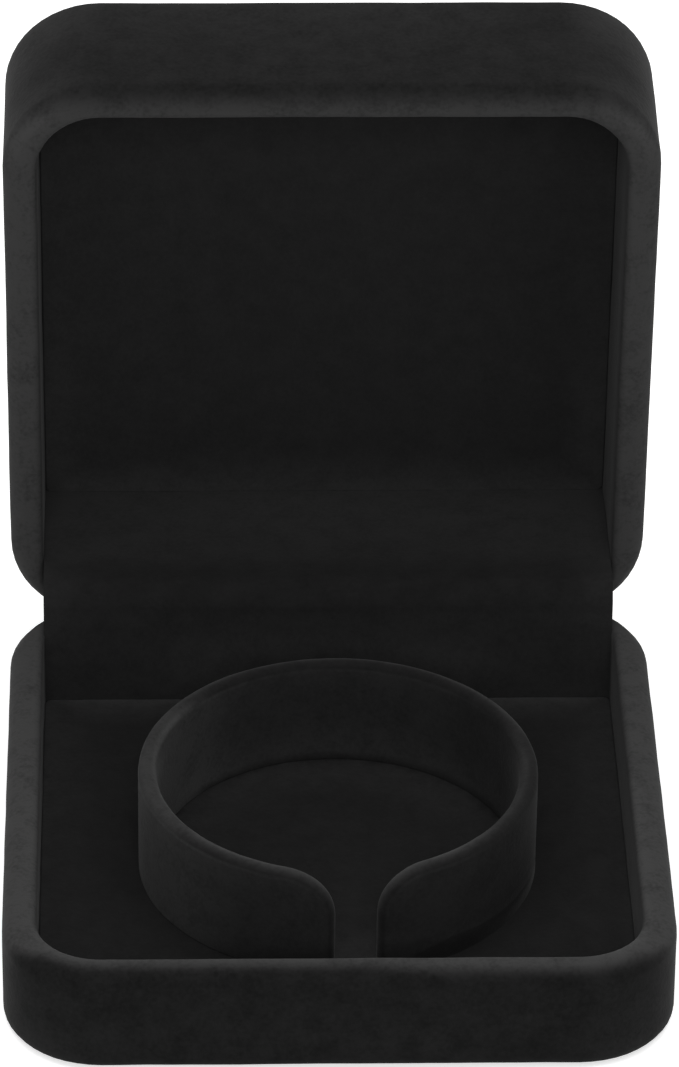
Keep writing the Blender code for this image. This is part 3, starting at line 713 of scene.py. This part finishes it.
# How far the sleeve's pile stands open, with the painted light on it: a painted highlight along its rim
# behind and in front, painted light on its left flank with its inner lip and painted shade on its right, and
# painted light on its walls and at their foot.
collar_rear_start = 0.0070
collar_rear_width = 0.0060
rear_highlight = 0.36
rear_power = 4
front_highlight = 0.70
crown_edge = 1.05
crown_width = 1.3
flank_shade = 0.65
flank_shade_band = (0.55, 0.95)
flank_light = 0.42
flank_band = (0.65, 0.95)
lip_highlight = 0.50
inner_lip_band = (0.3, 0.9)
sleeve_light = 0.20
sleeve_left_light = 0.50
sleeve_left_band = (0.40, 1)
sleeve_right_shade = 0.13
sleeve_right_band = (0.50, 1)
sleeve_foot_light = 0.16
sleeve_foot_fade = (0.0010, 0.0080)
upright_band = (0.85, 1)

opened_and_lit = []
for vert in collar.data.vertices:
    place = vert.co - collar_centre - sleeve_shift
    out = Vector((place.x / sleeve_oval.x, place.y / sleeve_oval.y, 0))
    along = out.normalized()
    facing = vert.normal.dot(along)
    inward = (collar_mean - out.length) / half
    rear = min(max((out.y - collar_rear_start) / collar_rear_width, -1), 1)
    crown = min(max((crown_edge - inward * rear) / crown_width, 0), 1)
    if rear > 0:
        rim_pile_and_sheen = rear_highlight * crown ** rear_power
    else:
        rim_pile_and_sheen = front_highlight * crown ** (1 + 2 * abs(along.x))
        rim_pile_and_sheen *= 1 - flank_shade * ramp(along.x, *flank_shade_band)
    flank = flank_light + lip_highlight * ramp(inward, *inner_lip_band)
    rim_pile_and_sheen = between(rim_pile_and_sheen, flank, ramp(-along.x, *flank_band))
    wall = sleeve_light + sleeve_left_light * ramp(-along.x, *sleeve_left_band)
    wall -= sleeve_right_shade * ramp(along.x, *sleeve_right_band)
    if facing < 0:
        wall += sleeve_foot_light * (1 - ramp(vert.co.z - floor_high.z, *sleeve_foot_fade))
    opened_and_lit.append(between(rim_pile_and_sheen, wall, ramp(abs(facing), *upright_band)))
mark_pile_and_light(collar, opened_and_lit)
collar_velvet = velvet("collar velvet", upright=0.0045, leaning=0.0110, patches=260, share=0.9, opened_and_lit=0.055)
collar.data.materials.append(collar_velvet)
dress(card, "collar_core")


# The hinge
# Two pressed steel leaves with rolled knuckles on a pin, riveted to the rear walls. Their hooks hold
# a bow spring, which snaps the lid open and shut.

steel = granular("zinc-plated steel", dark=(0.46, 0.46, 0.45), light=(0.60, 0.59, 0.57), rate=1400,
                 roughness=0.34, metallic=1, depth=0.00001)
dress(steel, "hinge_base_leaf", "hinge_lid_leaf", "hinge_pin", "hinge_base_rivet_left",
      "hinge_base_rivet_right", "hinge_lid_rivet_left", "hinge_lid_rivet_right")

bend_segments = 18


def bent_strip(name, half_width, columns, centre, radius, rise, turn, run, cell):
    """A strip that runs up, round an arc in front of a centre, and on backwards."""
    piece = new_piece(name)
    front_edge = -0.5
    pick("VERT", lambda vert: vert.co.y > 0)
    bpy.ops.mesh.delete(type="VERT")
    bpy.ops.mesh.select_all(action="SELECT")
    bpy.ops.transform.resize(value=(2 * half_width, 1, 1))
    bpy.ops.transform.translate(value=(0, -front_edge + centre.y - radius, centre.z - rise))
    bpy.ops.mesh.subdivide(number_cuts=columns)
    bpy.ops.mesh.select_all(action="SELECT")
    steps = math.ceil(rise / cell)
    for _ in range(steps):
        bpy.ops.mesh.extrude_region_move(TRANSFORM_OT_translate={"value": (0, 0, rise / steps)})
    bpy.ops.mesh.spin(steps=bend_segments, angle=turn, center=centre, axis=(1, 0, 0))
    steps = math.ceil(run / cell)
    onward = Vector((0, math.sin(turn), math.cos(turn))) * run / steps
    for _ in range(steps):
        bpy.ops.mesh.extrude_region_move(TRANSFORM_OT_translate={"value": onward})
    return piece


open_angle = math.radians(lid_joint["range_deg"][1])
spring_low, spring_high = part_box("hinge_bow_spring")
spring_thickness = 0.00035
spring_radius = hinge_axis.y - spring_low.y
spring_reach = hinge_axis.z - spring_low.z
spring_rest = Vector((0, hinge_axis.y - spring_radius, hinge_axis.z))
spring_far = hinge_axis + spring_radius * Vector((0, -math.cos(open_angle), math.sin(open_angle)))
spring_columns = 8
spring_cell = 0.001
bow_spring = bent_strip("bow_spring", spring_high.x, spring_columns, hinge_axis, spring_radius,
                        spring_reach, open_angle, spring_reach, spring_cell)
face_outward()
thicken(bow_spring, spring_thickness)
bow_spring.data.materials.append(steel)
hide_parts("hinge_bow_spring")
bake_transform(bow_spring, "base", "lid", start=spring_rest, end=spring_far)


# The lining strip over the hinge
# Velvet on a thin card, tucked behind the floor and behind the lid's panel. It stands up from the
# floor, turns softly backwards over the hinge, and bends with the lid.

strip_low, strip_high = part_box("spine_velvet")
card_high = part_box("spine_card")[1]
strip_radius = 0.0035
strip_top = 0.0226
strip_end = 0.0217
strip_card_thickness = 0.0005
strip_cell = 0.0015
card_columns = 40
strip_columns = 55
bend_foot = 0.014
bend_reach = 0.0106
bend_start = Vector((0, strip_low.y, bend_foot))
bend_end = Vector((0, strip_low.y + bend_reach, strip_top))

strip_far = Vector((0, strip_high.y, strip_end))
turn = math.atan2(strip_far.y - strip_low.y, strip_far.z - strip_top)
centre_height = strip_top - strip_radius * (1 - math.cos(turn)) / math.sin(turn)
centre = Vector((0, strip_low.y + strip_radius, centre_height))
rise = centre.z - strip_low.z
arc_end = centre + strip_radius * Vector((0, -math.cos(turn), math.sin(turn)))
run = (strip_far - arc_end).dot(Vector((0, math.sin(turn), math.cos(turn))))
strip_card = bent_strip("strip_card", card_high.x, card_columns, centre, strip_radius - cover_depth,
                        rise, turn, run, strip_cell)
face_outward()
thicken(strip_card, strip_card_thickness)
strip_card.data.materials.append(card)
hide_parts("spine_card")
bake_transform(strip_card, "base", "lid", start=bend_start, end=bend_end)

strip = bent_strip("lining_strip", strip_high.x + 2 * pile_spread, strip_columns, centre, strip_radius,
                   rise, turn, run, strip_cell)
finish_cloth(strip, lie=0.00018, lie_size=0.012)

# Painted light and sheen on the strip, marked as open pile: over its bend, on its flat and upright parts and
# at its sides, and painted light at its foot, where the collar's shade falls.
bend_light = 0.30
bend_band = (0.0035, 0.0100)
flat_light = 0.62
flat_band = (0.0060, 0.0260)
upright_light = 0.34
upright_fade = (strip_top - 0.0060, strip_top - 0.0010)
side_light = 0.24
side_edge_band = (0.032, 0.042)
flat_side_light = 0.18
flat_side_band = (0.016, 0.042)
behind_collar_light = 0.35
behind_collar_fade = (0.0100, 0.0170)
behind_collar_width = (0.0150, 0.0280)

opened_and_lit = []
for vert in strip.data.vertices:
    behind, aside = vert.co.y - strip_low.y, abs(vert.co.x)
    pile = bend_light * ramp(behind, *bend_band) + flat_light * ramp(behind, *flat_band)
    if pile > bend_light:
        pile += flat_side_light * ramp(aside, *flat_side_band)
    pile += side_light * ramp(aside, *side_edge_band)
    pile += upright_light * (1 - ramp(vert.co.z, *upright_fade))
    pile += behind_collar_light * (1 - ramp(vert.co.z, *behind_collar_fade)) * (1 - ramp(aside, *behind_collar_width))
    opened_and_lit.append(pile)
mark_pile_and_light(strip, opened_and_lit)
strip_velvet = velvet("strip velvet", upright=0.0055, leaning=0.0127, patches=260, share=0.8, opened_and_lit=0.03)
strip.data.materials.append(strip_velvet)
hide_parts("spine_velvet")
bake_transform(strip, "base", "lid", start=bend_start, end=bend_end)


# The lid's tray and its velvet cover
# The tray is of the same black plastic. One piece of velvet lies over its top and walls and is turned
# in over the rim. It is shaped with the lid shut and then opened on the hinge.

dress(plastic, "lid_shell")
lid_top = 0.0393
lid_edge_radius = 0.0012
lid_cover_foot = 0.00265
lid_rim_start = -0.0002
lid_wall_light = 0.36
leaf_reach = 0.0101


def open_lid():
    """Swings what was shaped on the shut lid back on the hinge axis."""
    bpy.ops.object.mode_set(mode="EDIT")
    bpy.ops.mesh.select_mode(type="VERT")
    bpy.ops.mesh.select_all(action="SELECT")
    bpy.ops.transform.rotate(value=open_angle, orient_axis="X", center_override=hinge_axis)
    bpy.ops.object.mode_set(mode="OBJECT")


lid_cover = new_piece("lid_cover")
rows = wall_rows(0, lid_edge_radius, lid_height, lid_cover_foot)
loft(lid_cover, [wall_outline(inset, lid_top - down, rear) for inset, down, rear in rows], wall_cell)
fill_face(lid_top)
finish_cloth(lid_cover, lie=0.00014, lie_size=0.010)
cut_window(lid_cover, (-pocket_half, cavity_rear - overrun, base_high.z - overrun),
           (pocket_half, pocket_rear, hinge_axis.z + leaf_reach))
lid_cavity_depth = lid_height - lid_cover_foot - velvet_thickness
# Open pile, painted sheen, painted light and painted shade on the lid's cover.
mark_open_pile_and_light(lid_cover, lid_top - lid_height, 1, lid_cavity_depth, lid_rim_start, lid_wall_light)
open_lid()
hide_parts("lid_velvet_cover")
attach(lid_cover, "lid")
lid_cover.data.materials.append(cover_velvet)


# The panel inside the lid
# A flat board wrapped in velvet, like the floor, with the lining strip tucked behind its rear edge.

panel_rear = 0.0362
panel_back_depth = 0.0021
panel_face_depth = 0.00375
panel_high = Vector((floor_high.x, panel_rear, lid_top - panel_back_depth))
panel_low = Vector((-floor_high.x, -floor_high.x, lid_top - panel_face_depth))
lid_panel = new_piece("lid_panel")
outlines = []
for *sides, height in lining_outlines(panel_low, panel_high):
    outlines.append((*sides, panel_low.z + panel_high.z - height))
loft(lid_panel, outlines, lining_cell)
fill_face(panel_low.z)
finish_cloth(lid_panel, lie=0.00012, lie_size=0.014)

# The panel is lighter towards its left.
left_lightening = 0.08
left_lightening_fade = (-0.0400, -0.0100)
mark_lining_edge_light(lid_panel, panel_low, panel_high, panel_low.z, -1,
          lambda place: left_lightening * (1 - ramp(place.x, *left_lightening_fade)))
open_lid()
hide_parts("lid_panel_velvet")
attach(lid_panel, "lid")
# The panel's velvet has a lighter tone than the floor's: painted light that makes up for the shade in the
# lid's hollow.
panel_velvet = velvet("panel velvet", upright=0.0098, leaning=0.0180, patches=260, share=0.8, opened_and_lit=0.055)
lid_panel.data.materials.append(panel_velvet)
dress(card, "lid_panel_board")


# The camera stands at the photograph's viewing angle.

camera_yaw = math.radians(1.747)
camera_pitch = math.radians(32.612)
camera_roll = math.radians(0.693)
camera_distance = 0.932734
camera_target = Vector((0.00166, 0.045, 0.026856))
focal_pixels = 6570.81
photo_height = 1067
sensor = 36

camera = bpy.data.objects.new("camera", bpy.data.cameras.new("camera"))
bpy.context.scene.collection.objects.link(camera)
forward = Vector((math.sin(camera_yaw) * math.cos(camera_pitch),
                  math.cos(camera_yaw) * math.cos(camera_pitch), -math.sin(camera_pitch)))
level = Vector((math.cos(camera_yaw), -math.sin(camera_yaw), 0))
upright = level.cross(forward)
right = level * math.cos(camera_roll) + upright * math.sin(camera_roll)
up = upright * math.cos(camera_roll) - level * math.sin(camera_roll)
turned = Matrix((right, up, -forward)).transposed().to_4x4()
camera.matrix_world = Matrix.Translation(camera_target - forward * camera_distance) @ turned
camera.data.sensor_width = sensor
camera.data.lens = focal_pixels * sensor / photo_height
camera.data.clip_start = 0.01
camera.data.clip_end = 20
bpy.context.scene.camera = camera


# The light is a large soft box overhead, a weaker one in front, and an even pale surround.

def soft_box(name, place, aim, size, power):
    """Hangs a rectangular lamp and turns it to its aim."""
    lamp = bpy.data.objects.new(name, bpy.data.lights.new(name, "AREA"))
    lamp.data.shape = "RECTANGLE"
    lamp.data.size, lamp.data.size_y = size
    lamp.data.energy = power
    lamp.location = place
    lamp.rotation_euler = (Vector(aim) - Vector(place)).to_track_quat("-Z", "Y").to_euler()
    bpy.context.scene.collection.objects.link(lamp)


def looking_rays(tree):
    """Gives 1 for camera, mirror and see-through rays, and 0 for those that light the box."""
    rays = tree.nodes.new("ShaderNodeLightPath")
    looking = rays.outputs["Is Camera Ray"]
    for name in ("Is Glossy Ray", "Is Transmission Ray"):
        either = tree.nodes.new("ShaderNodeMath")
        either.operation = "MAXIMUM"
        tree.links.new(looking, either.inputs[0])
        tree.links.new(rays.outputs[name], either.inputs[1])
        looking = either.outputs["Value"]
    return looking


soft_box("overhead soft box", place=(0, 0.05, 1.2), aim=(0, 0, 0.03), size=(1.4, 1.2), power=12)
soft_box("front soft box", place=(0, -1.3, 0.9), aim=(0, 0, 0.05), size=(0.5, 0.5), power=7.5)

surround_light = 0.3
world = bpy.data.worlds.new("studio")
world.use_nodes = True
bpy.context.scene.world = world
sky = world.node_tree.nodes["Background"]
sky.inputs["Color"].default_value = (1, 1, 1, 1)
strength = world.node_tree.nodes.new("ShaderNodeMapRange")
strength.inputs["To Min"].default_value = surround_light
strength.inputs["To Max"].default_value = 1
world.node_tree.links.new(looking_rays(world.node_tree), strength.inputs["Value"])
world.node_tree.links.new(strength.outputs["Result"], sky.inputs["Strength"])


# The ground is a plain white sheet.

ground_size = 6
paper_tone = 0.86
paper_glow = 0.55

bpy.ops.object.select_all(action="DESELECT")
bpy.ops.mesh.primitive_plane_add(size=ground_size)
ground = bpy.context.object
ground.name = "ground"
paper = bpy.data.materials.new("white paper")
paper.use_nodes = True
shader = paper.node_tree.nodes["Principled BSDF"]
shader.inputs["Base Color"].default_value = (paper_tone, paper_tone, paper_tone, 1)
shader.inputs["Roughness"].default_value = 1
shader.inputs["Specular IOR Level"].default_value = 0
shader.inputs["Emission Color"].default_value = (1, 1, 1, 1)
glow = paper.node_tree.nodes.new("ShaderNodeMath")
glow.operation = "MULTIPLY"
glow.inputs[1].default_value = paper_glow
paper.node_tree.links.new(looking_rays(paper.node_tree), glow.inputs[0])
paper.node_tree.links.new(glow.outputs["Value"], shader.inputs["Emission Strength"])
ground.data.materials.append(paper)

bpy.context.scene.view_settings.view_transform = "Standard"
